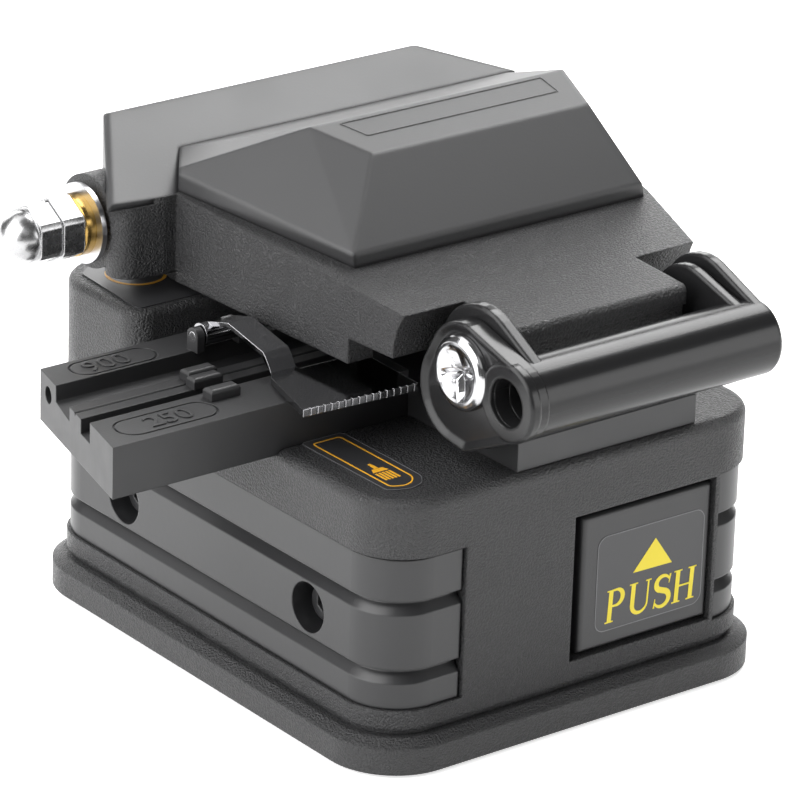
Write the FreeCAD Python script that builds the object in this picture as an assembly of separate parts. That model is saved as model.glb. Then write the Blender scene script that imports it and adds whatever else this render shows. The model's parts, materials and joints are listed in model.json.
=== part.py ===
import os
import math
import FreeCAD, Part

# Fibre cleaver, all sizes in mm.
# X runs across the front, left to right; Y runs from the front to the back; Z is up.
# The origin is the middle of the foot, on the table.

# ---- driving dimensions -------------------------------------------------
BODY_W, BODY_D, BODY_R = 60.0, 72.3, 7.5
FOOT_W, FOOT_D, FOOT_R = 63.7, 76.0, 9.35
Z_PLATE, Z_FOOT, Z_BODY, Z_TOP = 0.5, 3.9, 4.9, 35.7
WALL = 4.0
PANEL_Z0, PANEL_Z1, PANEL_T, PANEL_SET = 8.2, 28.3, 2.2, 0.45
BTN_X0, BTN_X1, BTN_Z0, BTN_Z1 = -1.0, 21.6, 8.5, 28.0
RAISED_Y, RAISED_Z = 16.5, 43.3
PANEL_Y, PANEL_Z = (-20.2, 18.9), 17.2
HINGE_Y, HINGE_Z = 28.0, 52.0
PIVOT_Y, PIVOT_Z = -31.5, 48.9
TUBE_Y, TUBE_Z, TUBE_R, TUBE_BORE = -40.3, 48.0, 4.8, 3.05
TUBE_X0, TUBE_X1 = -15.4, 23.4
LID_Z0, LID_ZC, LID_SLOPE = 45.0, 55.7, 0.05
HOOD_Y, HOOD_Z, HOOD_SLOPE, HOOD_BASE = 21.0, 56.7, 0.408, 55.8
PAD_Y0, PAD_Y1, PAD_Y2, PAD_Y3 = -10.0, 0.0, 10.0, 27.5
BLADE_X, BLADE_Y, BLADE_Z, BLADE_R = 4.35, -11.0, 31.8, 8.3
CLIP_Y, CLIP_Z = 6.0, 43.7
FIBRE_Y = -1.2

os.makedirs("parts", exist_ok=True)
V = FreeCAD.Vector
NODES = []


def save(name, shape):
    shape.exportStep("parts/%s.step" % name)
    NODES.append((name, shape))


def box(x0, x1, y0, y1, z0, z1):
    return Part.makeBox(x1 - x0, y1 - y0, z1 - z0, V(x0, y0, z0))


def cyl(x, y, z, r, h, d="z"):
    return Part.makeCylinder(r, h, V(x, y, z), {"x": V(1, 0, 0), "y": V(0, 1, 0), "z": V(0, 0, 1)}[d])


def poly(pts, z0, z1):
    p = [V(a, b, z0) for a, b in pts]
    return Part.Face(Part.makePolygon(p + [p[0]])).extrude(V(0, 0, z1 - z0))


def poly_x(pts, x0, x1):
    p = [V(x0, a, b) for a, b in pts]
    return Part.Face(Part.makePolygon(p + [p[0]])).extrude(V(x1 - x0, 0, 0))


def rrect_wire(x0, x1, y0, y1, r, z):
    k = r * (1 - math.sqrt(0.5))
    e = [Part.makeLine(V(x0 + r, y0, z), V(x1 - r, y0, z)),
         Part.Arc(V(x1 - r, y0, z), V(x1 - k, y0 + k, z), V(x1, y0 + r, z)).toShape(),
         Part.makeLine(V(x1, y0 + r, z), V(x1, y1 - r, z)),
         Part.Arc(V(x1, y1 - r, z), V(x1 - k, y1 - k, z), V(x1 - r, y1, z)).toShape(),
         Part.makeLine(V(x1 - r, y1, z), V(x0 + r, y1, z)),
         Part.Arc(V(x0 + r, y1, z), V(x0 + k, y1 - k, z), V(x0, y1 - r, z)).toShape(),
         Part.makeLine(V(x0, y1 - r, z), V(x0, y0 + r, z)),
         Part.Arc(V(x0, y0 + r, z), V(x0 + k, y0 + k, z), V(x0 + r, y0, z)).toShape()]
    return Part.Wire(e)


def rrect(x0, x1, y0, y1, r, z0, z1):
    return Part.Face(rrect_wire(x0, x1, y0, y1, r, z0)).extrude(V(0, 0, z1 - z0))


def plan(w, d, r, z0, z1):
    return rrect(-w / 2, w / 2, -d / 2, d / 2, r, z0, z1)


def plan_wire(w, d, r, z):
    return rrect_wire(-w / 2, w / 2, -d / 2, d / 2, r, z)


def hull(pts):
    """Solid convex hull of a short list of points."""
    P = [V(*p) for p in pts]
    n = len(P)
    c = V(0, 0, 0)
    for p in P:
        c = c + p
    c = c * (1.0 / n)
    faces = {}
    for i in range(n):
        for j in range(i + 1, n):
            for k in range(j + 1, n):
                nn = (P[j] - P[i]).cross(P[k] - P[i])
                if nn.Length < 1e-6:
                    continue
                nn.normalize()
                d = nn.dot(P[i])
                s = [nn.dot(q) - d for q in P]
                if max(s) < 1e-4 or min(s) > -1e-4:
                    if min(s) > -1e-4:
                        nn = nn * -1
                        d = -d
                    on = tuple(m for m in range(n) if abs(s[m]) <= 1e-4)
                    faces[on] = nn
    keep = [f for f in faces if not any(set(f) < set(g) for g in faces)]
    out = []
    for f in keep:
        nn = faces[f]
        m = V(0, 0, 0)
        for a in f:
            m = m + P[a]
        m = m * (1.0 / len(f))
        u = (P[f[0]] - m).normalize()
        w = nn.cross(u)
        order = sorted(f, key=lambda a: math.atan2((P[a] - m).dot(w), (P[a] - m).dot(u)))
        q = [P[a] for a in order]
        out.append(Part.Face(Part.makePolygon(q + [q[0]])))
    return Part.makeSolid(Part.makeShell(out))


def hexprism(x0, x1, y, z, af):
    r = af / math.sqrt(3)
    pts = [(y + r * math.cos(math.radians(60 * i + 30)), z + r * math.sin(math.radians(60 * i + 30))) for i in range(6)]
    return poly_x(pts, x0, x1)


def fuse(first, *rest):
    s = first
    for r in rest:
        s = s.fuse(r)
    return s.removeSplitter()


def edges_where(shape, test):
    return [e for e in shape.Edges if test(e)]


def try_fillet(shape, r, edges):
    try:
        s = shape.makeFillet(r, edges)
        if s.isValid() and s.Volume > 0:
            return s
    except Exception:
        pass
    return shape


def try_chamfer(shape, r, edges):
    try:
        s = shape.makeChamfer(r, edges)
        if s.isValid() and s.Volume > 0:
            return s
    except Exception:
        pass
    return shape


# ---- foot ---------------------------------------------------------------
plate = plan(FOOT_W, FOOT_D, FOOT_R, Z_PLATE, Z_FOOT)
slope = Part.makeLoft([plan_wire(FOOT_W, FOOT_D, FOOT_R, Z_FOOT), plan_wire(60.9, 73.2, 7.95, Z_BODY)], True, True)
base = fuse(plate, slope)
corners = [(-24.6, -28.5), (24.6, -28.5), (-24.6, 28.5), (24.6, 28.5)]
for x, y in corners:
    base = base.cut(cyl(x, y, 0, 1.4, 6)).cut(cyl(x, y, 0, 2.5, 2.4))
sole = rrect(-28.0, 28.0, -34.0, 34.0, 6.0, 0.0, 1.0)
base = base.cut(rrect(-28.0, 28.0, -34.0, 34.0, 6.0, 0.0, 1.0))
rail_holes = [-24.0, 24.0]
for y in rail_holes:
    base = base.cut(cyl(10.4, y, 0, 1.0, 6)).cut(cyl(10.4, y, 0, 2.0, 2.4))
save("base_plate", base)
for x, y in corners:
    sole = sole.cut(cyl(x, y, -1, 2.7, 3))
save("rubber_sole", try_chamfer(sole, 0.25, edges_where(sole, lambda e: e.BoundBox.ZMax < 0.01 and e.BoundBox.DiagonalLength > 40)))
save("base_screws", Part.makeCompound([fuse(cyl(x, y, 1.1, 2.3, 1.3), cyl(x, y, 2.3, 1.25, 7.7)).cut(box(x - 1.6, x + 1.6, y - 0.25, y + 0.25, 1.0, 1.6)) for x, y in corners]))

# ---- body casting -------------------------------------------------------
body = plan(BODY_W, BODY_D, BODY_R, 5.7, Z_TOP)
body = try_fillet(body, 1.3, edges_where(body, lambda e: abs(e.BoundBox.ZMin - Z_TOP) < 1e-3 and abs(e.BoundBox.ZMax - Z_TOP) < 1e-3))
step = plan(59.0, 71.3, 7.0, Z_BODY, 5.7)
raised = plan(BODY_W, BODY_D, BODY_R, Z_TOP - 1.5, RAISED_Z).common(box(-31, 29.0, RAISED_Y, 37, 30, 44))
raised = try_fillet(raised, 3.0, edges_where(raised, lambda e: e.BoundBox.ZLength > 5 and e.BoundBox.XMax < -28 and e.BoundBox.YMax < 17))
raised = try_fillet(raised, 1.0, edges_where(raised, lambda e: abs(e.BoundBox.ZMin - RAISED_Z) < 1e-3 and abs(e.BoundBox.ZMax - RAISED_Z) < 1e-3))
body = fuse(body, step, raised)
body = body.cut(rrect(-26, 26, -32.15, 32.15, 4.0, 4.0, 31.7))
for x, y in corners:
    body = fuse(body, cyl(x, y, Z_BODY, 2.55, 12.0)).cut(cyl(x, y, 4.0, 1.25, 6.5))
# recess that the two side panels sit in
ring = plan(BODY_W + 2, BODY_D + 2, BODY_R + 1, PANEL_Z0, PANEL_Z1).cut(plan(BODY_W - 2 * PANEL_T, BODY_D - 2 * PANEL_T, BODY_R - PANEL_T, PANEL_Z0, PANEL_Z1))
body = body.cut(ring.common(box(-40, -17.8, -40, 40, 0, 40)))
body = body.cut(ring.common(box(22.2, 40, -40, 40, 0, 40)))
# opening for the push button
body = body.cut(box(BTN_X0, BTN_X1, -40, -30, BTN_Z0, BTN_Z1))
# slot the blade and its arm run in
body = body.cut(box(2.2, 8.0, -22, 16.3, 30, 37))
# notch the fibre guide lies in
body = body.cut(box(-40, -9.7, -13.7, 11.8, 35.0, 37.0))
# sockets of the hinge lugs
LUG_X = [(-19.0, -13.0), (17.0, 23.0)]
for a, b in LUG_X:
    body = body.cut(box(a, b, 23.0, 33.0, 39.0, 44.0))
# threaded holes for the panel screws, guide screws and clamp base screws
for y in PANEL_Y:
    body = fuse(body, cyl(-27, y, PANEL_Z, 5.6, 5.5, "x")).cut(cyl(-29, y, PANEL_Z, 4.3, 4.4, "x")).cut(cyl(-26, y, PANEL_Z, 1.2, 4.0, "x"))
    body = fuse(body, cyl(23.2, y, PANEL_Z, 5.6, 3.8, "x")).cut(cyl(24.6, y, PANEL_Z, 4.3, 4.4, "x")).cut(cyl(23.0, y, PANEL_Z, 1.2, 4.0, "x"))
for x, y in ((-16.0, -9.6), (-16.0, 8.6)):
    body = body.cut(cyl(x, y, 31, 1.2, 6))
for x, y in ((-5.5, -20.0), (14.0, -20.0), (-5.5, 10.5), (14.0, 10.5)):
    body = body.cut(cyl(x, y, 31, 1.2, 6))
save("body_casting", body)

# ---- side panels --------------------------------------------------------
def panel_ring():
    z0, z1, i0 = PANEL_Z0 + 0.06, PANEL_Z1 - 0.3, PANEL_SET
    prof = [(z0, i0), (11.6, i0), (12.8, i0 + 1.1), (13.4, i0 + 1.1), (13.5, i0), (20.7, i0), (21.9, i0 + 1.1), (22.5, i0 + 1.1), (22.6, i0), (z1, i0)]
    core = None
    for (za, ia), (zb, ib) in zip(prof[:-1], prof[1:]):
        wa = plan_wire(BODY_W - 2 * ia, BODY_D - 2 * ia, BODY_R - ia, za)
        wb = plan_wire(BODY_W - 2 * ib, BODY_D - 2 * ib, BODY_R - ib, zb)
        s = Part.makeLoft([wa, wb], True, True)
        core = s if core is None else core.fuse(s)
    i = PANEL_T - 0.06
    return core.cut(plan(BODY_W - 2 * i, BODY_D - 2 * i, BODY_R - i, 0, 40))


pr = panel_ring()
left = pr.common(box(-40, -18.15, -40, 40, 0, 40)).removeSplitter()
right = pr.common(box(22.5, 40, -40, 40, 0, 40)).removeSplitter()
for y in PANEL_Y:
    left = fuse(left, cyl(-28.5, y, PANEL_Z, 4.25, 3.85, "x")).cut(cyl(-31, y, PANEL_Z, 3.25, 5.2, "x")).cut(cyl(-26, y, PANEL_Z, 1.3, 3, "x"))
    right = fuse(right, cyl(24.65, y, PANEL_Z, 4.25, 3.85, "x")).cut(cyl(25.8, y, PANEL_Z, 3.25, 5.2, "x")).cut(cyl(24, y, PANEL_Z, 1.3, 3, "x"))
save("side_panel_left", left)
save("side_panel_right", right)
ps = []
for y in PANEL_Y:
    ps.append(fuse(cyl(-27.3, y, PANEL_Z, 2.2, 1.5, "x"), cyl(-25.9, y, PANEL_Z, 1.2, 3.7, "x")).cut(hexprism(-28, -26.6, y, PANEL_Z, 2.0)))
    ps.append(fuse(cyl(25.8, y, PANEL_Z, 2.2, 1.5, "x"), cyl(23.2, y, PANEL_Z, 1.2, 2.7, "x")).cut(hexprism(26.6, 28, y, PANEL_Z, 2.0)))
save("panel_screws", Part.makeCompound(ps))

# ---- slider -------------------------------------------------------------
rail = fuse(box(7.9, 12.9, -30.0, 31.0, 4.9, 6.05), box(6.9, 13.9, -30.0, 31.0, 6.0, 7.3))
for y in rail_holes:
    rail = rail.cut(cyl(10.4, y, 4, 0.85, 2.6))
save("linear_rail", rail)
save("rail_screws", Part.makeCompound([fuse(cyl(10.4, y, 1.1, 1.85, 1.3), cyl(10.4, y, 2.3, 0.85, 4.0)) for y in rail_holes]))

blk = box(3.4, 17.4, -20.0, -2.0, 5.15, 14.0)
blk = blk.cut(box(7.85, 12.95, -21, 0, 5.0, 6.0)).cut(box(6.85, 13.95, -21, 0, 5.95, 7.35))
blk = fuse(blk, box(3.4, 17.4, -20.0, -17.5, 14.0, 25.0))
blk = blk.cut(cyl(10.4, -21, 20.0, 1.1, 5, "y"))
blk = blk.cut(cyl(10.4, -5.0, 10.6, 3.35, 4, "y"))
save("slide_block", blk)
arm = box(5.6, 7.4, -15.0, -7.0, 14.0, 34.2)
arm = try_fillet(arm, 2.5, edges_where(arm, lambda e: abs(e.BoundBox.ZMin - 34.2) < 1e-3 and e.BoundBox.XLength > 1 and e.BoundBox.YLength < 0.01))
arm = fuse(arm, box(4.2, 9.2, -15.0, -3.5, 14.0, 15.6)).cut(cyl(5, BLADE_Y, BLADE_Z, 1.5, 4, "x"))
arm = arm.cut(cyl(6.6, -5.4, 13, 0.9, 4))
save("blade_arm", arm)
pin = fuse(cyl(2.5, BLADE_Y, BLADE_Z, 2.4, 1.4, "x"), cyl(3.9, BLADE_Y, BLADE_Z, 1.5, 3.8, "x"), cyl(4.8, BLADE_Y, BLADE_Z, 2.4, 0.8, "x"))
pin = pin.cut(box(2.4, 2.9, BLADE_Y - 0.3, BLADE_Y + 0.3, BLADE_Z - 3, BLADE_Z + 3))
save("blade_pin", pin)
wheel = cyl(4.0, BLADE_Y, BLADE_Z, BLADE_R, 0.7, "x")
wheel = try_chamfer(wheel, 0.33, [e for e in wheel.Edges if e.Closed and e.BoundBox.YLength > 15])
wheel = wheel.cut(cyl(3, BLADE_Y, BLADE_Z, 1.55, 3, "x"))
save("blade_wheel", wheel)
btn = box(BTN_X0 + 0.25, BTN_X1 - 0.25, -35.7, -20.0, BTN_Z0 + 0.3, BTN_Z1 - 0.25)
btn = try_fillet(btn, 1.0, edges_where(btn, lambda e: e.BoundBox.YMax < -35.6))
btn = btn.cut(box(1.2, 19.6, -33.2, -19, 9.6, 25.8))
btn = fuse(btn, cyl(10.4, -33.4, 20.0, 3.0, 13.4, "y")).cut(cyl(10.4, -28, 20.0, 1.1, 9, "y"))
seat = box(3.15, 20.55, -36, -35.45, 10.85, 24.05)
btn = btn.cut(try_fillet(seat, 1.55, edges_where(seat, lambda e: e.BoundBox.YLength > 0.1)))
save("push_button", btn)
lab = box(3.2, 20.5, -35.65, -35.45, 10.9, 24.0)
lab = try_fillet(lab, 1.5, edges_where(lab, lambda e: e.BoundBox.YLength > 0.1))
save("push_label", lab)
save("button_screw", fuse(cyl(10.4, -17.5, 20.0, 2.2, 1.4, "y"), cyl(10.4, -27.5, 20.0, 1.1, 10.1, "y")).cut(box(10.1, 10.7, -16.6, -16.0, 17, 23)))
stop = box(4.4, 16.4, 29.0, 31.2, 7.3, 16.0).cut(cyl(10.4, 28, 10.6, 1.15, 4, "y"))
save("rear_stop", fuse(stop, box(4.4, 6.8, 29.0, 31.2, 4.9, 7.3), box(14.0, 16.4, 29.0, 31.2, 4.9, 7.3)))
save("stop_rod", cyl(10.4, 20.2, 10.6, 1.15, 11.0, "y"))
# the return spring is drawn as a ribbed sleeve of the coil's diameter
SPRING_Y0, SPRING_Y1, RIBS = -4.9, 28.9, 12
pitch = (SPRING_Y1 - SPRING_Y0) / RIBS
prof = [V(0, SPRING_Y0, 2.3)]
for i in range(RIBS):
    prof += [V(0, SPRING_Y0 + (i + 0.0) * pitch, 2.75), V(0, SPRING_Y0 + (i + 0.5) * pitch, 3.2)]
prof += [V(0, SPRING_Y1, 2.75), V(0, SPRING_Y1, 2.3)]
spring = Part.Face(Part.makePolygon(prof + [prof[0]])).revolve(V(0, 0, 0), V(0, 1, 0), 360)
spring.translate(V(10.4, 0, 10.6))
save("return_spring", spring)

# ---- clamp base, anvils and guide ---------------------------------------
cb = box(-9.7, 18.4, -35.1, 16.2, Z_TOP, 39.95)
cb = try_chamfer(cb, 0.5, edges_where(cb, lambda e: e.BoundBox.ZMin > 39.9))
cb = cb.cut(box(3.6, 5.1, -21, 14.8, 35, 41)).cut(box(2.2, 8.0, -22, 15.4, 35, 36.6))
for a, b in ((-4.6, 1.2), (7.5, 13.3)):
    cb = cb.cut(box(a, b, FIBRE_Y - 3.5, FIBRE_Y + 3.5, 39.0, 41))
for x, y in ((-5.5, -20.0), (14.0, -20.0), (-5.5, 10.5), (14.0, 10.5)):
    cb = cb.cut(cyl(x, y, 35, 1.25, 6)).cut(cyl(x, y, 37.6, 2.2, 3))
for x in (-6.0, 14.6):
    cb = cb.cut(cyl(x, -29.0, 38.4, 2.2, 3))
save("clamp_base", cb)
save("clamp_base_screws", Part.makeCompound([fuse(cyl(x, y, 37.6, 2.0, 1.9), cyl(x, y, 32.5, 1.2, 5.2)).cut(box(x - 0.9, x + 0.9, y - 0.9, y + 0.9, 38.6, 40)) for x, y in ((-5.5, -20.0), (14.0, -20.0), (-5.5, 10.5), (14.0, 10.5))]))
save("lower_clamp_pads", Part.makeCompound([box(a + 0.05, b - 0.05, FIBRE_Y - 3.45, FIBRE_Y + 3.45, 39.0, 40.2) for a, b in ((-4.6, 1.2), (7.5, 13.3))]))
save("lid_bumpers", Part.makeCompound([cyl(x, -29.0, 38.4, 2.15, 6.5) for x in (-6.0, 14.6)]))

gx = -9.8
gy0, gy1 = -13.5, 11.6
outline = [(-54.0, gy0), (gx, gy0), (gx, gy1), (-47.4, gy1)]
sec = [(gy0, 35.0), (gy1, 35.0), (gy1, 41.7), (6.1, 41.7), (6.0, 39.6), (1.3, 39.0), (1.3, 40.9), (-0.4, 40.9), (-0.65, 40.4), (-0.9, 40.9),
       (-2.6, 40.9), (-2.6, 39.0), (-5.7, 39.0), (-5.7, 41.7), (gy0, 41.7)]
guide = poly_x(sec, -56, gx).common(poly(outline, 34, 43))
guide = guide.cut(cyl(-56, 8.7, 39.4, 1.1, 12, "x"))


def obround(cx, cy, lx, ly, z0, z1, w):
    def one(a, b):
        return fuse(box(cx - a / 2 + b / 2, cx + a / 2 - b / 2, cy - b / 2, cy + b / 2, z0, z1), cyl(cx - a / 2 + b / 2, cy, z0, b / 2, z1 - z0), cyl(cx + a / 2 - b / 2, cy, z0, b / 2, z1 - z0))
    return one(lx, ly).cut(one(lx - 2 * w, ly - 2 * w))


guide = guide.cut(obround(-38.6, 8.7, 12.5, 4.4, 41.45, 42, 0.3)).cut(obround(-43.6, -9.6, 14.5, 5.0, 41.45, 42, 0.3))
ear1 = fuse(box(-28.6, -27.5, 4.9, 7.1, 41.7, 43.7), cyl(-28.6, CLIP_Y, CLIP_Z, 1.1, 1.1, "x"))
ear2 = fuse(box(-22.3, -21.5, 4.9, 7.1, 41.7, 43.7), cyl(-22.3, CLIP_Y, CLIP_Z, 1.1, 0.8, "x"))
foot = box(-28.6, -21.5, 6.1, 7.1, 41.2, 41.9)
guide = fuse(guide, ear1.common(box(-40, 0, 4, 9, 41.9, 46)), ear2.common(box(-40, 0, 4, 9, 41.9, 46)), foot.fuse(box(-28.6, -27.5, 4.9, 7.1, 41.7, 42.0)).fuse(box(-22.3, -21.5, 4.9, 7.1, 41.7, 42.0))).cut(cyl(-31, CLIP_Y, CLIP_Z, 0.65, 12, "x"))
for x, y in ((-16.0, -9.6), (-16.0, 8.6)):
    guide = guide.cut(cyl(x, y, 34, 1.25, 9)).cut(cyl(x, y, 39.6, 2.1, 3))
save("fibre_guide", guide)
rests = [box(-33.9, -29.6, -0.7, 1.2, 40.9, 42.3), box(-34.6, -30.3, -2.9, -1.1, 40.9, 42.3), box(-36.1, -31.8, -8.6, -6.7, 41.7, 43.1)]
rests = [try_fillet(b, 0.5, edges_where(b, lambda e: e.BoundBox.ZMin > 42.1)) for b in rests]
save("fibre_rests", Part.makeCompound(rests))
save("guide_screws", Part.makeCompound([fuse(cyl(x, y, 39.6, 1.9, 1.7), cyl(x, y, 32.0, 1.2, 7.7)).cut(box(x - 2, x + 2, y - 0.25, y + 0.25, 40.8, 42)) for x, y in ((-16.0, -9.6), (-16.0, 8.6))]))

# spring-steel clip, bent from strip, that holds the fibre in the guide
curl = cyl(-27.4, CLIP_Y, CLIP_Z, 1.45, 5.0, "x")
strip = poly_x([(6.4, 45.1), (1.8, 46.4), (-5.6, 45.0), (-6.4, 44.2), (-7.3, 42.9), (-8.2, 42.5), (-7.8, 42.2), (-5.9, 43.9), (-5.3, 44.5), (1.8, 45.8), (6.0, 44.5)], -26.3, -22.5)
flat = poly([(-26.3, -7.2), (-27.2, -8.6), (-30.0, -18.9), (-13.3, -19.9), (-13.0, -8.2), (-22.5, -8.2), (-22.5, -7.2)], 41.95, 42.9)
clip = fuse(curl, strip, flat).cut(cyl(-29, CLIP_Y, CLIP_Z, 0.70, 8, "x"))
teeth = None
x = -29.2
while x < -14.0:
    yf = -18.9 - (x + 30.0) * 0.06
    t = poly([(x, yf - 0.5), (x + 0.25, yf + 0.3), (x + 0.5, yf - 0.5)], 41.5, 43.0)
    teeth = t if teeth is None else teeth.fuse(t)
    x += 1.0
clip = clip.cut(teeth)
save("fibre_clip", clip)
save("clip_pin", cyl(-28.6, CLIP_Y, CLIP_Z, 0.65, 7.1, "x"))

# ---- stickers -----------------------------------------------------------
lb = poly([(-26.9, -14.2), (-26.9, -29.0), (-25.0, -30.7), (-19.8, -29.9), (-14.8, -25.9), (-14.8, -14.2)], Z_TOP, Z_TOP + 0.15)
save("top_label", try_fillet(lb, 0.8, edges_where(lb, lambda e: e.BoundBox.ZLength > 0.1)))
lb = poly([(-28.5, 17.8), (-12.5, 17.8), (-12.5, 22.7), (-19.3, 22.7), (-19.3, 34.3), (-24.0, 34.3), (-27.6, 31.5)], RAISED_Z, RAISED_Z + 0.15)
save("rear_label", try_fillet(lb, 0.9, edges_where(lb, lambda e: e.BoundBox.ZLength > 0.1)))

# ---- hinge --------------------------------------------------------------
lugs = []
for a, b in LUG_X:
    s = fuse(cyl(a, HINGE_Y, HINGE_Z, 6.0, b - a, "x"), box(a, b, 23.0, 33.0, 39.0, HINGE_Z))
    s = s.cut(cyl(a - 1, HINGE_Y, HINGE_Z, 2.0, b - a + 2, "x"))
    lugs.append(s)
save("hinge_lugs", Part.makeCompound(lugs))
shaft = cyl(-38.0, HINGE_Y, HINGE_Z, 2.0, 66.4, "x")
save("hinge_shaft", try_chamfer(shaft, 0.3, [e for e in shaft.Edges if e.Closed]))
bush = cyl(-32.2, HINGE_Y, HINGE_Z, 4.0, 7.3, "x").cut(cyl(-33, HINGE_Y, HINGE_Z, 2.05, 10, "x"))
save("brass_bush", try_chamfer(bush, 0.3, [e for e in bush.Edges if e.Closed and e.BoundBox.XMax < -32.1 and e.BoundBox.YLength > 7]))
save("hinge_ring", cyl(-30.5, HINGE_Y, HINGE_Z, 5.2, 0.7, "x").cut(cyl(-31, HINGE_Y, HINGE_Z, 4.0, 3, "x")))
nut = hexprism(-35.35, -32.25, HINGE_Y, HINGE_Z, 7.7).common(cyl(-36.0, HINGE_Y, HINGE_Z, 4.25, 5.0, "x"))
save("hex_nut", nut.cut(cyl(-36, HINGE_Y, HINGE_Z, 2.0, 6, "x")))
acorn = fuse(hexprism(-38.6, -35.4, HINGE_Y, HINGE_Z, 7.2).common(cyl(-39, HINGE_Y, HINGE_Z, 3.95, 6, "x")), cyl(-38.8, HINGE_Y, HINGE_Z, 3.3, 1.2, "x"),
             Part.makeSphere(3.3, V(-38.8, HINGE_Y, HINGE_Z)).common(box(-43, -38.8, 20, 36, 40, 60)))
save("acorn_nut", acorn.cut(cyl(-38.1, HINGE_Y, HINGE_Z, 2.0, 6, "x")))

# ---- lid ----------------------------------------------------------------
def top_z(y):
    return LID_ZC + LID_SLOPE * y


def hood_z(y):
    return HOOD_Z + HOOD_SLOPE * (y - HOOD_Y)


lid_pts = [(-21.5, 19.6), (-19.2, -27.6), (-10.2, -27.6), (-10.2, -34.3), (16.6, -34.3), (16.6, -27.6), (24.9, -27.6), (28.8, -16.9), (31.8, -8.6), (36.0, 8.0), (38.6, 19.0), (38.6, 19.6)]
frame = poly(lid_pts, LID_Z0, 60.0)
rear = poly([(-31.2, 20.9), (-23.3, 19.6), (38.6, 19.0), (38.9, 27.5), (27.2, 36.2), (-21.3, 36.2)], 46.3, 60.0)
frame = fuse(frame, rear)
frame = try_fillet(frame, 2.6, edges_where(frame, lambda e: e.BoundBox.ZLength > 5 and e.BoundBox.XMax < -30.8))
cutter = poly_x([(-40, top_z(-40)), (40, top_z(40)), (40, 70), (-40, 70)], -40, 40)
frame = frame.cut(cutter)
frame = try_fillet(frame, 0.9, edges_where(frame, lambda e: e.BoundBox.ZMin > 53 and e.BoundBox.XLength > 20 and e.BoundBox.YMax < -34))
# seat of the rear cover
hood_pts = [(-32.0, 19.6), (-21.0, 20.0), (-15.5, PAD_Y3), (41.0, PAD_Y3), (41.0, 40.0), (-32.0, 40.0)]
frame = frame.cut(poly(hood_pts, HOOD_BASE, 70))
frame = frame.cut(box(-11, 17.5, -40, -33.7, 44, 51.6)).cut(box(-11, 17.5, -40, -27.5, 44, 45.6))
frame = frame.cut(cyl(-30, PIVOT_Y, PIVOT_Z, 9.0, 19.8, "x")).cut(cyl(16.6, PIVOT_Y, PIVOT_Z, 9.0, 20, "x"))
barrel = box(-40, 40, HINGE_Y, 40, 44, HINGE_Z).cut(cyl(-40, HINGE_Y, HINGE_Z, 8.2, 80, "x"))
frame = frame.cut(barrel)
frame = frame.cut(cyl(-36, HINGE_Y, HINGE_Z, 5.4, 6.9, "x"))
frame = fuse(frame, cyl(-29.1, HINGE_Y, HINGE_Z, 6.1, 6.0, "x"))
frame = frame.cut(cyl(-31, HINGE_Y, HINGE_Z, 4.0, 6.1, "x")).cut(cyl(-31, HINGE_Y, HINGE_Z, 2.05, 62, "x"))
notches = None
for a, b in LUG_X:
    n = cyl(a - 0.2, HINGE_Y, HINGE_Z, 6.4, b - a + 0.4, "x").fuse(box(a - 0.2, b + 0.2, 22.6, 40, 43, HINGE_Z)).fuse(box(a - 0.2, b + 0.2, HINGE_Y, 40, 43, 57.4))
    notches = n if notches is None else notches.fuse(n)
frame = frame.cut(notches)
frame = frame.cut(box(-16.0, 26.0, -22.0, 15.0, 44, 51.5))
frame = frame.cut(poly_x([(-26.0, 44), (-26.0, 48.5), (-14.2, 48.3), (-14.2, 44)], -22, -11.5))
frame = frame.cut(cyl(-12, PIVOT_Y, PIVOT_Z, 1.5, 8.0, "x")).cut(cyl(11.0, PIVOT_Y, PIVOT_Z, 1.5, 8.0, "x"))
frame = frame.cut(cyl(BLADE_X, FIBRE_Y, 50, 1.6, 6))
frame = fuse(frame, cyl(BLADE_X, FIBRE_Y, 51.5, 3.0, 0.5).cut(cyl(BLADE_X, FIBRE_Y, 51, 1.6, 3)))
for x in (-8.0, 20.0):
    frame = frame.cut(cyl(x, 8.0, 51, 1.2, 6)).cut(cyl(x, 8.0, 51, 2.3, 2.0))
save("lid_frame", frame)

uc = []
pads = []
for a, b in ((-5.0, 1.6), (7.1, 13.7)):
    uc.append(box(a, b, FIBRE_Y - 4.2, FIBRE_Y + 4.2, 41.9, 51.5))
    pads.append(box(a + 0.6, b - 0.6, FIBRE_Y - 3.4, FIBRE_Y + 3.4, 40.4, 41.9))
save("upper_clamps", Part.makeCompound(uc))
save("upper_clamp_pads", Part.makeCompound(pads))
anv = fuse(box(2.6, 6.1, FIBRE_Y - 2.2, FIBRE_Y + 2.2, 41.4, 46.0), cyl(BLADE_X, FIBRE_Y, 46.0, 1.55, 8.0))
anv = try_chamfer(anv, 0.6, edges_where(anv, lambda e: e.BoundBox.ZMax < 41.5 and e.BoundBox.YLength > 3))
save("anvil", anv)
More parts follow.
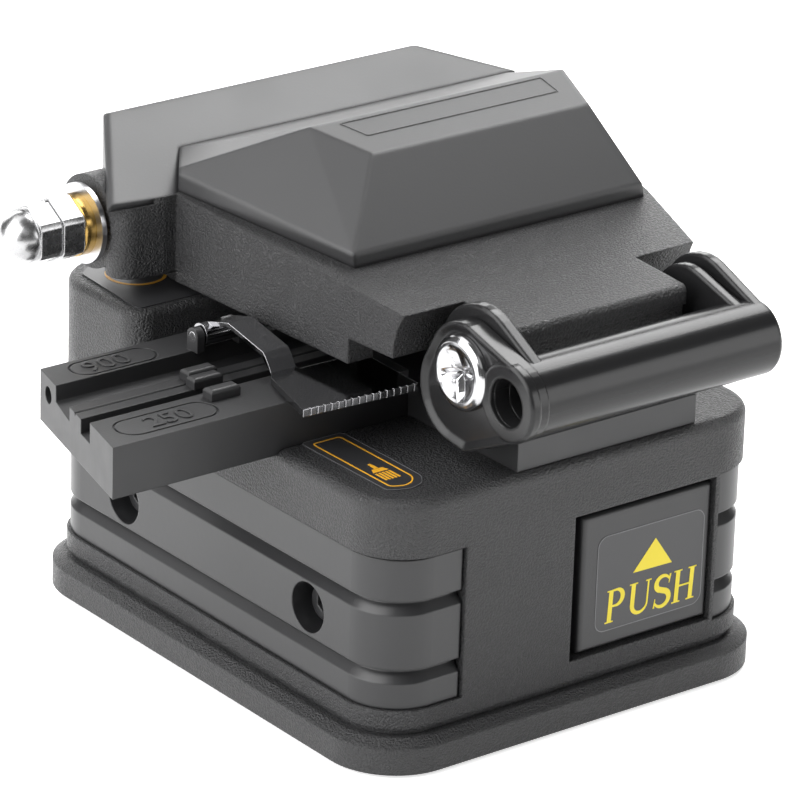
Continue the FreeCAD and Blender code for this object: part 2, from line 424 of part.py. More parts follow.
# faceted cap on the lid
ZR, ZF, ZB, ZA = hood_z(PAD_Y3), 57.05, 65.05, 65.9
cap = hull([(-15.9, PAD_Y0, top_z(PAD_Y0)), (30.0, PAD_Y0, top_z(PAD_Y0)), (37.4, PAD_Y3, top_z(PAD_Y3)), (-15.5, PAD_Y3, top_z(PAD_Y3)), (-21.0, 21.5, top_z(21.5)),
            (-16.2, PAD_Y0, ZF), (29.6, PAD_Y0, ZF), (-21.0, 21.5, 59.2), (-15.5, PAD_Y3, ZR), (37.4, PAD_Y3, ZR),
            (-6.0, PAD_Y1, ZB), (28.5, PAD_Y1, ZB), (-8.2, PAD_Y2, ZA), (32.5, PAD_Y2, ZA)])
cap = try_fillet(cap, 0.8, edges_where(cap, lambda e: e.BoundBox.ZMin > 56.9 and e.BoundBox.YMax < PAD_Y3 - 0.5 and e.BoundBox.DiagonalLength > 1))
inner = hull([(-12.5, -7.5, 50.0), (27.0, -7.5, 50.0), (34.0, 25.0, 50.0), (-14.0, 25.0, 50.0), (-18.0, 20.0, 50.0),
              (-12.5, -7.5, 56.7), (27.0, -7.5, 56.7), (34.0, 25.0, 58.2), (-14.0, 25.0, 58.2), (-18.0, 20.0, 58.0),
              (-4.5, 1.5, 63.2), (26.8, 1.5, 63.2), (-6.2, 9.5, 63.9), (30.3, 9.5, 63.9)])
outer = cap
cap = cap.cut(inner.common(cutter)).cut(poly(hood_pts, HOOD_BASE, 70)).cut(notches)
for x in (-8.0, 20.0):
    p = cyl(x, 8.0, top_z(8.0) - 0.4, 2.4, 10.0).common(outer).cut(cyl(x, 8.0, 50, 1.0, 10.5))
    cap = fuse(cap, p)
save("lid_cap", cap)
save("cap_screws", Part.makeCompound([fuse(cyl(x, 8.0, 51.6, 2.1, 1.4), cyl(x, 8.0, 52.9, 1.0, 6.8)).cut(box(x - 2.2, x + 2.2, 7.75, 8.25, 51.4, 52.0)) for x in (-8.0, 20.0)]))

# rear cover over the hinge
rc = poly([(-31.2, 20.9), (-21.0, 20.02), (-15.5, PAD_Y3), (38.9, PAD_Y3), (27.2, 36.2), (-21.3, 36.2)], HOOD_BASE, 66.0)
rc = rc.cut(poly_x([(10, hood_z(10)), (40, hood_z(40)), (40, 70), (10, 70)], -40, 45))
rc = try_fillet(rc, 0.7, edges_where(rc, lambda e: e.BoundBox.ZMax > 62.5 and (e.BoundBox.ZLength > 1 and e.BoundBox.XMax < 0 and e.BoundBox.XLength > 1 or e.BoundBox.ZLength < 0.01)))
rc = rc.cut(notches).cut(cyl(-29.2, HINGE_Y, HINGE_Z, 6.12, 6.2, "x"))
save("rear_cover", rc)

# ---- handle -------------------------------------------------------------
def lobe(x0, x1, ra, rb):
    """Plate that tapers from the pivot to the tube."""
    n = 14
    pts = []
    dy, dz = TUBE_Y - PIVOT_Y, TUBE_Z - PIVOT_Z
    L = math.hypot(dy, dz)
    a0 = math.atan2(dz, dy)
    b = math.acos((ra - rb) / L)
    for i in range(n + 1):
        a = a0 + b + (2 * math.pi - 2 * b) * i / n
        pts.append((PIVOT_Y + ra * math.cos(a), PIVOT_Z + ra * math.sin(a)))
    for i in range(n + 1):
        a = a0 - b + 2 * b * i / n
        pts.append((TUBE_Y + rb * math.cos(a), TUBE_Z + rb * math.sin(a)))
    return poly_x(pts, x0, x1)


tube = cyl(TUBE_X0, TUBE_Y, TUBE_Z, TUBE_R, TUBE_X1 - TUBE_X0, "x")
tube = try_fillet(tube, 0.5, [e for e in tube.Edges if e.Closed])
handle = fuse(tube, cyl(TUBE_X0, TUBE_Y, TUBE_Z, 5.0, 1.2, "x"))
handle = fuse(handle, lobe(-13.3, -10.3, 6.5, TUBE_R), lobe(17.6, 19.9, 6.0, TUBE_R))
GUSSET = [(7.6, 0.0), (8.2, -3.2), (5.1, -7.8), (-0.9, -10.2), (-7.7, -2.3)]
plate_l = fuse(lobe(-16.2, -13.2, 7.2, 5.0), poly_x([(PIVOT_Y + a, PIVOT_Z + b) for a, b in GUSSET], -16.2, -13.2))
plate_l = try_fillet(plate_l, 1.0, edges_where(plate_l, lambda e: e.BoundBox.XLength > 2.9 and e.BoundBox.ZMin < PIVOT_Z - 2 and e.BoundBox.YMax > PIVOT_Y - 3 and e.BoundBox.YLength < 0.01))
handle = fuse(handle, plate_l, lobe(19.8, 23.0, 7.1, TUBE_R))
# sunk faces around the screw heads, leaving a raised rim
sunk = cyl(-17, PIVOT_Y, PIVOT_Z, 5.9, 1.3, "x").fuse(poly_x([(PIVOT_Y + 0.83 * a, PIVOT_Z + 0.83 * b) for a, b in GUSSET], -17, -15.7))
handle = handle.cut(sunk).cut(cyl(22.5, PIVOT_Y, PIVOT_Z, 5.8, 2, "x"))
handle = handle.cut(cyl(TUBE_X0 - 1, TUBE_Y, TUBE_Z, TUBE_BORE, 50, "x"))
handle = handle.cut(cyl(-18, PIVOT_Y, PIVOT_Z, 1.75, 50, "x"))
save("handle", handle)
hs = []
HEAD_R, CAP_H = 5.1, 1.3
SPH = (HEAD_R ** 2 + CAP_H ** 2) / (2 * CAP_H)
for s in (-1, 1):
    xf, tip = (-15.7, -17.6) if s < 0 else (22.5, 24.4)
    ball = Part.makeSphere(SPH, V(tip - s * SPH, PIVOT_Y, PIVOT_Z))
    h = ball.common(cyl(min(xf, tip), PIVOT_Y, PIVOT_Z, HEAD_R, abs(tip - xf), "x"))
    for w in ((0.55, 2.5), (2.5, 0.55)):
        h = h.cut(box(min(tip, tip - s * 1.1), max(tip, tip - s * 1.1), PIVOT_Y - w[0], PIVOT_Y + w[0], PIVOT_Z - w[1], PIVOT_Z + w[1]))
    if s < 0:
        h = fuse(h, cyl(-15.75, PIVOT_Y, PIVOT_Z, 1.7, 5.5, "x"), cyl(-10.3, PIVOT_Y, PIVOT_Z, 1.5, 6.0, "x"))
    else:
        h = fuse(h, cyl(16.65, PIVOT_Y, PIVOT_Z, 1.7, 5.9, "x"), cyl(11.2, PIVOT_Y, PIVOT_Z, 1.5, 5.6, "x"))
    hs.append(h)
save("handle_screws", Part.makeCompound(hs))

for n, s in NODES:
    b = s.BoundBox
    bad = "" if s.isValid() and s.Volume > 0 else "  INVALID"
    print("%-20s solids %d  x %.2f %.2f  y %.2f %.2f  z %.2f %.2f%s" % (n, len(s.Solids), b.XMin, b.XMax, b.YMin, b.YMax, b.ZMin, b.ZMax, bad))
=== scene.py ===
# %% [markdown]
# # A bench fibre cleaver, finished for its picture
# The real tool is a small die-cast block with a hinged clamp lid, a pull handle,
# a push button and a fibre guide that sticks out at the left. Its solids come from
# CAD as a fixed frame, in metres, and are never moved here. This lesson gives each
# solid its finish, adds the printed and moulded marks that are too fine for the
# solids, and sets the floor, the lamps and the camera.

# %% Load the frame
import json
import math

import bmesh
import bpy
from mathutils import Matrix, Vector


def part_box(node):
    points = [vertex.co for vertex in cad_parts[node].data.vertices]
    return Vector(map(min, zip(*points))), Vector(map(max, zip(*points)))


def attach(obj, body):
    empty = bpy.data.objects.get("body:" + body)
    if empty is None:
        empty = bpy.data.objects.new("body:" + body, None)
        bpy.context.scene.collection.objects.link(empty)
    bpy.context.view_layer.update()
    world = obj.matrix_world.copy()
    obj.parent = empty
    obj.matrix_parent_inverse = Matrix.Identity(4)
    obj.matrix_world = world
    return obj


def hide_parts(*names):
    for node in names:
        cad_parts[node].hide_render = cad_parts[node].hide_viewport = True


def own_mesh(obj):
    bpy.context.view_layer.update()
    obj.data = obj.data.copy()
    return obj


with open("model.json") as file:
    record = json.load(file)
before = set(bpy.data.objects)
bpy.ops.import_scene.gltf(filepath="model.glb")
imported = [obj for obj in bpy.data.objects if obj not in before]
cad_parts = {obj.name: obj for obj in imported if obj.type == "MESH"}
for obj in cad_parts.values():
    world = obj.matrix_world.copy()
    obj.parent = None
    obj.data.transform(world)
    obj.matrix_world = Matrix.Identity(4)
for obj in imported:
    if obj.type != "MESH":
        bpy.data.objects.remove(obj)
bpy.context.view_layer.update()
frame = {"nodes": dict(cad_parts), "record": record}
nodes = frame["nodes"]
MM = 0.001
print("solids:", len(nodes))

# %% [markdown]
# ## How a finish is built
# A painted part never has one flat colour. It has a grain, a slow change of gloss
# from the spraying, and edges that are a little round. Each finish below is one
# Principled shader. A noise in Object coordinates drives its bump, a slower noise
# drives its roughness, and a Bevel node rounds the shading of the edges. Object
# coordinates are in metres, so a grain size can be given in millimetres.

# %% Helpers for finishes
def new_finish(name, color, roughness, metallic=0.0, specular=0.5):
    """A Principled material and the two things that the next helpers work on."""
    material = bpy.data.materials.new(name)
    material.use_nodes = True
    shader = material.node_tree.nodes["Principled BSDF"]
    shader.inputs["Base Color"].default_value = (*color, 1.0)
    shader.inputs["Roughness"].default_value = roughness
    shader.inputs["Metallic"].default_value = metallic
    shader.inputs["Specular IOR Level"].default_value = specular
    return material, material.node_tree, shader


def noise(tree, size_mm, detail=2.0):
    """Noise whose blobs are about size_mm across."""
    node = tree.nodes.new("ShaderNodeTexNoise")
    node.inputs["Scale"].default_value = 1.0 / (size_mm * MM)
    node.inputs["Detail"].default_value = detail
    place = tree.nodes.new("ShaderNodeTexCoord")
    tree.links.new(place.outputs["Object"], node.inputs["Vector"])
    return node.outputs["Fac"]


def lines(tree, axis, pitch_mm, wobble):
    """Fine parallel lines, as a mill or a grinding wheel leaves them."""
    node = tree.nodes.new("ShaderNodeTexWave")
    node.bands_direction = axis
    node.inputs["Scale"].default_value = 1.0 / (pitch_mm * MM * math.tau)
    node.inputs["Distortion"].default_value = wobble
    place = tree.nodes.new("ShaderNodeTexCoord")
    tree.links.new(place.outputs["Object"], node.inputs["Vector"])
    return node.outputs["Fac"]


def spread(tree, value, low, high):
    """Stretch a value from low..high to 0..1."""
    node = tree.nodes.new("ShaderNodeMapRange")
    node.inputs["From Min"].default_value = low
    node.inputs["From Max"].default_value = high
    tree.links.new(value, node.inputs["Value"])
    return node.outputs["Result"]


def add_bump(tree, shader, height, depth_mm, round_mm=0.0, strength=1.0):
    """Bump of a given depth, on top of edges rounded by round_mm."""
    node = tree.nodes.new("ShaderNodeBump")
    node.inputs["Distance"].default_value = depth_mm * MM
    node.inputs["Strength"].default_value = strength
    tree.links.new(height, node.inputs["Height"])
    if round_mm:
        edge = tree.nodes.new("ShaderNodeBevel")
        edge.samples = 6
        edge.inputs["Radius"].default_value = round_mm * MM
        tree.links.new(edge.outputs["Normal"], node.inputs["Normal"])
    tree.links.new(node.outputs["Normal"], shader.inputs["Normal"])


def vary_roughness(tree, shader, value, low, high):
    node = tree.nodes.new("ShaderNodeMapRange")
    node.inputs["To Min"].default_value = low
    node.inputs["To Max"].default_value = high
    tree.links.new(value, node.inputs["Value"])
    tree.links.new(node.outputs["Result"], shader.inputs["Roughness"])


# %% [markdown]
# ## Paint, plastic and film
# The castings wear a black powder coat with pebbles a little under a third of a
# millimetre across, and the hollows between them are glossier than their tops. The
# lid's pad and hood are smoother. The side panels have a satin enamel, the handle is
# gloss plastic, and the stickers are a printed film. One noise drives both the bump
# and the gloss of the powder coat, so the two agree grain by grain.

# %% Black finishes
powder, tree, shader = new_finish("powder_coat_black", (0.020, 0.020, 0.021), 0.42)
pebbles = spread(tree, noise(tree, 0.28, 4.0), 0.38, 0.60)
add_bump(tree, shader, pebbles, 0.11, round_mm=0.6)
vary_roughness(tree, shader, pebbles, 0.30, 0.50)

enamel, tree, shader = new_finish("satin_enamel_black", (0.016, 0.016, 0.017), 0.34)
add_bump(tree, shader, noise(tree, 0.9), 0.012, round_mm=0.3, strength=0.6)
vary_roughness(tree, shader, noise(tree, 10.0), 0.30, 0.40)

satin, tree, shader = new_finish("smooth_satin_black", (0.024, 0.024, 0.025), 0.42)
add_bump(tree, shader, noise(tree, 0.31), 0.012, round_mm=0.9, strength=0.6)
vary_roughness(tree, shader, noise(tree, 12.0), 0.38, 0.46)

anodised, tree, shader = new_finish("anodised_black", (0.018, 0.018, 0.019), 0.46)
add_bump(tree, shader, lines(tree, "Y", 0.25, 1.5), 0.003, round_mm=0.2, strength=0.5)
vary_roughness(tree, shader, noise(tree, 3.3), 0.40, 0.52)

gloss, tree, shader = new_finish("gloss_plastic_black", (0.013, 0.013, 0.0135), 0.2, specular=0.3)
add_bump(tree, shader, noise(tree, 4.5, 1.0), 0.02, round_mm=0.5, strength=0.5)
vary_roughness(tree, shader, noise(tree, 2.0, 3.0), 0.16, 0.25)

grained, tree, shader = new_finish("grained_plastic_black", (0.018, 0.018, 0.019), 0.42)
add_bump(tree, shader, noise(tree, 0.29), 0.02, round_mm=0.5, strength=0.7)
vary_roughness(tree, shader, noise(tree, 5.0), 0.38, 0.46)

film, tree, shader = new_finish("sticker_film", (0.030, 0.030, 0.032), 0.34)
add_bump(tree, shader, noise(tree, 2.9), 0.010, strength=0.5)
vary_roughness(tree, shader, noise(tree, 3.3), 0.30, 0.38)

rubber, tree, shader = new_finish("soft_rubber", (0.015, 0.015, 0.015), 0.75)
add_bump(tree, shader, noise(tree, 0.5, 3.0), 0.02, strength=0.6)
vary_roughness(tree, shader, noise(tree, 2.5), 0.68, 0.82)
BLACKS = (powder, enamel, satin, anodised, gloss, grained, film, rubber)
print("black finishes:", [material.name for material in BLACKS])

# %% [markdown]
# ## Bare metals
# The handle screws are plated bright and the nuts dull, the spring clip is polished
# spring steel, the bush is turned brass, and the slide and blade are ground steel. A metal's look is
# almost all reflection, so its roughness and its tool marks matter most.

# %% Metals
plated, tree, shader = new_finish("bright_plating", (0.52, 0.52, 0.53), 0.14, 1.0)
add_bump(tree, shader, noise(tree, 2.0), 0.012, round_mm=0.18, strength=0.6)
vary_roughness(tree, shader, noise(tree, 0.7, 3.0), 0.10, 0.20)

ground, tree, shader = new_finish("ground_steel", (0.52, 0.52, 0.53), 0.3, 1.0)
add_bump(tree, shader, lines(tree, "X", 0.15, 2.0), 0.003, strength=0.5)
vary_roughness(tree, shader, noise(tree, 1.7), 0.24, 0.36)

nut_plating, tree, shader = new_finish("dull_plating", (0.42, 0.42, 0.425), 0.26, 1.0)
add_bump(tree, shader, noise(tree, 0.5), 0.006, round_mm=0.25, strength=0.6)
vary_roughness(tree, shader, noise(tree, 0.9, 3.0), 0.22, 0.32)

spring_steel, tree, shader = new_finish("polished_spring_steel", (0.34, 0.34, 0.35), 0.10, 1.0)
add_bump(tree, shader, noise(tree, 1.5), 0.006, round_mm=0.12, strength=0.6)
vary_roughness(tree, shader, noise(tree, 1.1, 3.0), 0.07, 0.15)

brass, tree, shader = new_finish("turned_brass", (0.36, 0.23, 0.07), 0.28, 1.0)
add_bump(tree, shader, lines(tree, "X", 0.2, 0.4), 0.004, round_mm=0.15, strength=0.5)
vary_roughness(tree, shader, noise(tree, 1.2), 0.18, 0.30)
METALS = (plated, ground, nut_plating, spring_steel, brass)
print("metals:", [material.name for material in METALS])

# %% [markdown]
# ## Printing inks and a painted edge highlight
# The marks on the button are a full yellow, and those on the two stickers a darker
# orange-yellow. Ink is thin, slightly uneven and less glossy than the film. The pale
# grey that follows is no ink but painted highlight, a thin pale line for the light on a
# cut film edge.

# %% Inks
ink_yellow, tree, shader = new_finish("ink_yellow", (0.76, 0.62, 0.025), 0.45)
add_bump(tree, shader, noise(tree, 0.8), 0.004, strength=0.5)
vary_roughness(tree, shader, noise(tree, 1.6), 0.40, 0.52)

ink_amber, tree, shader = new_finish("ink_amber", (0.72, 0.36, 0.02), 0.45)
add_bump(tree, shader, noise(tree, 0.8), 0.004, strength=0.5)
vary_roughness(tree, shader, noise(tree, 1.6), 0.40, 0.52)

# Painted highlight: a pale grey that stands for light caught on a cut film edge.
painted_edge_highlight, tree, shader = new_finish("painted_cut_edge_highlight", (0.15, 0.15, 0.155), 0.4)
add_bump(tree, shader, noise(tree, 0.6), 0.004, strength=0.5)
vary_roughness(tree, shader, noise(tree, 1.6), 0.34, 0.46)
INKS_AND_HIGHLIGHT = (ink_yellow, ink_amber, painted_edge_highlight)
print("inks:", [material.name for material in INKS_AND_HIGHLIGHT])

# %% [markdown]
# ## Dress the solids
# The CAD record names a material slot for every solid. One table turns the slots
# into finishes, so no solid is left plain. A second table names the few pieces whose
# finish differs from the rest of their slot: blackened screws, a polished spring and
# duller nuts.

# %% Slots to finishes
FINISH = {
    "cast_black": powder, "panel_black": enamel, "cap_black": satin, "guide_black": anodised,
    "handle_black": gloss, "button_black": grained, "chrome": plated, "steel": ground,
    "carbide": ground, "brass": brass, "rubber": rubber, "sticker": film,
}
BY_NODE = {
    "panel_screws": enamel, "fibre_clip": spring_steel,
    "hex_nut": nut_plating, "acorn_nut": nut_plating,
}
slot_of = {part["node"]: part["material_slot"] for part in frame["record"]["subparts"]}
for name, solid in nodes.items():
    for slot in solid.material_slots:
        slot.material = BY_NODE.get(name, FINISH[slot_of[name]])
print("slots in use:", len(set(slot_of.values())), "solids with a finish of their own:", len(BY_NODE))

# %% [markdown]
# ## Making thin marks
# A printed mark is a flat shape a few hundredths of a millimetre thick. Each one is
# drawn as a flat bmesh in its own plane, given a thickness, and then carried to the
# surface it lies on by one matrix. It rides on the same body as that surface, so it
# follows the joint.

# %% Helpers for marks
INK = 0.03 * MM


def surface(origin, right, up):
    """Matrix from a flat drawing (x right, y up, z out) to a surface of the tool."""
    r, u = Vector(right).normalized(), Vector(up).normalized()
    n = r.cross(u)
    o = Vector(origin)
    return Matrix(((r.x, u.x, n.x, o.x), (r.y, u.y, n.y, o.y), (r.z, u.z, n.z, o.z), (0, 0, 0, 1)))


def finish_piece(name, mesh, body, material):
    obj = bpy.data.objects.new(name, mesh)
    bpy.context.collection.objects.link(obj)
    mesh.materials.append(material)
    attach(obj, body)
    return obj


def lay_on(name, bm, place, body, material, thick=INK):
    """Give a flat bmesh its thickness, carry it to its place and make it a piece."""
    made = bmesh.ops.extrude_face_region(bm, geom=bm.faces[:], use_keep_orig=True)
    top = [part for part in made["geom"] if isinstance(part, bmesh.types.BMVert)]
    bmesh.ops.translate(bm, vec=(0, 0, thick), verts=top)
    bmesh.ops.recalc_face_normals(bm, faces=bm.faces)
    bmesh.ops.transform(bm, matrix=place, verts=bm.verts)
    mesh = bpy.data.meshes.new(name)
    bm.to_mesh(mesh)
    bm.free()
    return finish_piece(name, mesh, body, material)


def add_face(bm, corners_mm):
    return bm.faces.new([bm.verts.new((x * MM, y * MM, 0)) for x, y in corners_mm])


def outline(corners_mm, radius_mm, width_mm):
    """A closed line of even width with rounded corners."""
    bm = bmesh.new()
    add_face(bm, corners_mm)
    bmesh.ops.bevel(bm, geom=bm.verts[:], offset=radius_mm * MM, segments=6, profile=0.5,
                    affect="VERTICES", material=-1)
    made = bmesh.ops.inset_region(bm, faces=bm.faces[:], thickness=width_mm * MM,
                                  use_boundary=True, use_even_offset=True)
    band = set(made["faces"])
    inside = [face for face in bm.faces if face not in band]
    bmesh.ops.delete(bm, geom=inside, context="FACES")
    return bm


LAYER = 0.0002 * MM


def ribbon(bm, path_mm, widths_mm):
    """A flat stroke whose width changes along its path. Each lies a hair above the last."""
    sides = []
    z = LAYER * len(bm.verts) / 2
    for i, (x, y) in enumerate(path_mm):
        a, b = path_mm[max(i - 1, 0)], path_mm[min(i + 1, len(path_mm) - 1)]
        along = Vector((b[0] - a[0], b[1] - a[1])).normalized()
        half = widths_mm[i] / 2
        left = (x - along.y * half, y + along.x * half)
        rightward = (x + along.y * half, y - along.x * half)
        sides.append([bm.verts.new((p[0] * MM, p[1] * MM, z)) for p in (left, rightward)])
    for (a, b), (c, d) in zip(sides, sides[1:]):
        bm.faces.new((a, b, d, c))


def arc(cx, cy, rx, ry, start, end, steps=14):
    angles = [math.radians(start + (end - start) * i / steps) for i in range(steps + 1)]
    return [(cx + rx * math.cos(a), cy + ry * math.sin(a)) for a in angles]


def swell(count, thin, thick):
    """Widths that grow from thin to thick and back, as a serif letter's curves do."""
    return [thin + (thick - thin) * math.sin(math.pi * i / (count - 1)) for i in range(count)]


# %% [markdown]
# ## The button's sign
# The push button carries a sticker with a triangle and the word PUSH in slightly
# leaning serif capitals. The letters are built from strokes: stems and serifs are straight
# ribbons, and the curves swell in the middle. A built-in font has no serifs, so
# strokes come closer.

# %% Serif strokes
STEM, HAIR, SERIF = 0.66, 0.24, 0.18
SERIF_REACH = 0.32


def stem(bm, x, y0, y1, width, serif_at=(0, 1)):
    ribbon(bm, [(x, y0), (x, y1)], [width, width])
    for end in serif_at:
        y = (y0 + SERIF / 2, y1 - SERIF / 2)[end]
        reach = width * 0.5 + SERIF_REACH
        ribbon(bm, [(x - reach, y), (x + reach, y)], [SERIF, SERIF])


def letter_p(bm, x, h):
    stem(bm, x + 0.9, 0, h, STEM)
    round_side = arc(x + 1.75, h * 0.735, 1.05, h * 0.265 - 0.1, 90, -90)
    bowl = [(x + 0.9, h - 0.12)] + round_side + [(x + 0.9, h * 0.47 + 0.12)]
    ribbon(bm, bowl, swell(len(bowl), HAIR, STEM))


def letter_u(bm, x, h):
    stem(bm, x + 0.8, h * 0.3, h, STEM, serif_at=(1,))
    stem(bm, x + 3.2, h * 0.3, h, HAIR, serif_at=(1,))
    turn = arc(x + 2.0, h * 0.32, 1.2, h * 0.27, 180, 360)
    ribbon(bm, turn, [STEM + (HAIR - STEM) * i / (len(turn) - 1) for i in range(len(turn))])


def letter_s(bm, x, h):
    top = arc(x + 1.5, h * 0.745, 1.05, h * 0.22, 25, 230)
    low = arc(x + 1.5, h * 0.265, 1.15, h * 0.24, 60, -155)
    path = top + low
    ribbon(bm, path, swell(len(path), HAIR, STEM * 1.15))
    ribbon(bm, [(x + 2.5, h * 0.70), (x + 2.62, h * 0.98)], [0.12, 0.26])
    ribbon(bm, [(x + 0.42, h * 0.30), (x + 0.32, h * 0.02)], [0.12, 0.26])


def letter_h(bm, x, h):
    stem(bm, x + 0.8, 0, h, STEM)
    stem(bm, x + 3.1, 0, h, STEM)
    ribbon(bm, [(x + 0.8, h * 0.5), (x + 3.1, h * 0.5)], [HAIR, HAIR])


# %% [markdown]
# ## The button
# The button is a block with rounded front edges. It is smaller than its opening at
# the left and the top, so a dark gap shows there. A cube is scaled to its size, and
# a bevel rounds only the edges of its front face.

# %% Button
button_low, button_high = (Vector(corner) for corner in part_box("push_button"))
GAP_LEFT, GAP_TOP, ROUND = 1.5 * MM, 0.6 * MM, 0.6 * MM
SET_BACK, WIDER_RIGHT, DEPTH = 0.08 * MM, 0.18 * MM, 15.0 * MM
low = Vector((button_low.x + GAP_LEFT, button_low.y + SET_BACK, button_low.z))
high = Vector((button_high.x + WIDER_RIGHT, button_low.y + DEPTH, button_high.z - GAP_TOP))
block = bmesh.new()
bmesh.ops.create_cube(block, size=1.0)
bmesh.ops.scale(block, vec=high - low, verts=block.verts)
bmesh.ops.translate(block, vec=(high + low) / 2, verts=block.verts)
front_edges = [e for e in block.edges if max(v.co.y for v in e.verts) < low.y + ROUND]
bmesh.ops.bevel(block, geom=front_edges, offset=ROUND, segments=5, profile=0.5,
                affect="EDGES", material=-1)
bmesh.ops.recalc_face_normals(block, faces=block.faces)
button_mesh = bpy.data.meshes.new("button_cap")
block.to_mesh(button_mesh)
block.free()
button_cap = finish_piece("button_cap", button_mesh, "slider", grained)
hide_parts("push_button")
print("button", [round(side / MM, 1) for side in high - low], "mm")

# %% Word
label_low, label_high = (Vector(corner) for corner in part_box("push_label"))
label_place = surface((label_low.x, label_low.y, label_low.z), (1, 0, 0), (0, 0, 1))
LETTER_H, LETTER_Y, SLANT = 4.4, 1.05, 0.06
LETTERS = ((1.4, letter_p), (5.1, letter_u), (9.2, letter_s), (12.3, letter_h))
word = bmesh.new()
for x, draw in LETTERS:
    draw(word, x, LETTER_H)
for v in word.verts:
    v.co.x += SLANT * v.co.y
    v.co.y += LETTER_Y * MM
lay_on("push_word", word, label_place, "slider", ink_yellow)
print("letters:", len(LETTERS))

# %% Triangle and painted edge highlight
TRIANGLE = [(5.9, 6.95), (12.2, 6.85), (9.35, 10.85)]
arrow = bmesh.new()
add_face(arrow, TRIANGLE)
lay_on("push_triangle", arrow, label_place, "slider", ink_yellow)

THIN_LINE = 0.02 * MM
label_w = (label_high.x - label_low.x) / MM
label_h = (label_high.z - label_low.z) / MM
EDGE_IN = 0.05
label_corners = [(EDGE_IN, EDGE_IN), (label_w - EDGE_IN, EDGE_IN),
                 (label_w - EDGE_IN, label_h - EDGE_IN), (EDGE_IN, label_h - EDGE_IN)]
# A thin pale line round the label is painted highlight, the light caught on its cut edge.
edge = outline(label_corners, 1.5, 0.10)
lay_on("push_label_edge_highlight", edge, label_place, "slider", painted_edge_highlight, thick=THIN_LINE)
print("button label", round(label_w, 1), "x", round(label_h, 1), "mm")

# %% [markdown]
# ## Numbers on the guide
# Two shallow lozenges on the fibre guide hold the coating sizes the two grooves
# take, 900 and 250. The figures are low relief in the guide's own finish. A text
# curve is right here, because the real figures have even strokes. It is turned into
# a mesh first and placed after that.

# %% Figures
def figures(name, text, width_mm, height_mm, place, body, material, depth):
    curve = bpy.data.curves.new(name, "FONT")
    curve.body = text
    curve.resolution_u = 4
    carrier = bpy.data.objects.new(name + "_curve", curve)
    bpy.context.collection.objects.link(carrier)
    bpy.context.view_layer.update()
    flat = bpy.data.meshes.new_from_object(carrier)
    bpy.data.objects.remove(carrier)
    bm = bmesh.new()
    bm.from_mesh(flat)
    bpy.data.meshes.remove(flat)
    xs, ys = [v.co.x for v in bm.verts], [v.co.y for v in bm.verts]
    scale = (width_mm * MM / (max(xs) - min(xs)), height_mm * MM / (max(ys) - min(ys)), 1.0)
    middle = Vector(((max(xs) + min(xs)) / 2, (max(ys) + min(ys)) / 2, 0))
    bmesh.ops.translate(bm, vec=-middle, verts=bm.verts)
    bmesh.ops.scale(bm, vec=scale, verts=bm.verts)
    return lay_on(name, bm, place, body, material, depth)


# The guide's box runs up to its clip ears, so the height of its flat top is given here.
RIDGE_TOP, RELIEF = 41.7 * MM, 0.16 * MM
FIGURE_W, FIGURE_H = 6.4, 2.9
FIGURES = (("figure_900", "900", -39.6, 8.7), ("figure_250", "250", -43.2, -9.6))
for name, text, x, y in FIGURES:
    place = surface((x * MM, y * MM, RIDGE_TOP), (1, 0, 0), (0, 1, 0))
    figures(name, text, FIGURE_W, FIGURE_H, place, "base", anodised, RELIEF)
print("figures:", [text for _, text, _, _ in FIGURES])

# %% [markdown]
# ## The stickers on the body
# The sticker in front of the guide has a rounded amber line and, at its inner end,
# a plain picture of a brush. The one on the raised block has a ring and a dot. Film
# is cut with a knife, and the cut edge catches the light as a thin pale line, so a
# painted highlight line is laid round the front sticker.

# %% Top sticker
TOP_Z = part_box("top_label")[0][2]
FILM_T = 0.12
CORNER_R = 0.7
top_place = surface((0, 0, TOP_Z), (1, 0, 0), (0, 1, 0))
film_corners = [(-26.4, -13.7), (-20.0, -13.7), (-20.0, -29.6),
                (-21.3, -31.4), (-23.4, -32.0), (-26.2, -30.9)]
sheet = bmesh.new()
add_face(sheet, film_corners)
bmesh.ops.bevel(sheet, geom=sheet.verts[:], offset=CORNER_R * MM, segments=6, profile=0.5,
                affect="VERTICES", material=-1)
top_sticker = lay_on("top_sticker", sheet, top_place, "base", film, thick=FILM_T * MM)
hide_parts("top_label")
print("sticker top at", round((TOP_Z + FILM_T * MM) / MM, 2), "mm")

# %% Print on the top sticker
print_place = surface((0, 0, TOP_Z + FILM_T * MM), (1, 0, 0), (0, 1, 0))
# The pale line round the film is painted highlight, the light on its cut edge.
film_edge_highlight = outline(film_corners, CORNER_R, 0.08)
lay_on("top_sticker_edge_highlight", film_edge_highlight, print_place, "base", painted_edge_highlight, thick=THIN_LINE)
line_corners = [(-25.4, -14.6), (-21.0, -14.6), (-21.0, -29.2),
                (-22.0, -30.5), (-23.5, -31.0), (-25.3, -30.2)]
lay_on("top_sticker_line", outline(line_corners, 0.6, 0.2), print_place, "base", ink_amber)

# The brush is five bristles, a ferrule and a handle.
BRISTLES, BRISTLE_PITCH, BRISTLE_W = 5, 0.5, 0.28
brush = bmesh.new()
for step in range(BRISTLES):
    x = -24.5 + BRISTLE_PITCH * step
    add_face(brush, [(x, -26.2), (x + BRISTLE_W, -26.2), (x + BRISTLE_W, -28.4), (x, -28.4)])
add_face(brush, [(-24.5, -25.9), (-24.1, -25.0), (-22.5, -25.0), (-22.2, -25.9)])
add_face(brush, [(-23.6, -24.9), (-23.5, -23.4), (-23.1, -23.4), (-23.0, -24.9)])
lay_on("top_sticker_brush", brush, print_place, "base", ink_amber)
print("brush bristles:", BRISTLES)

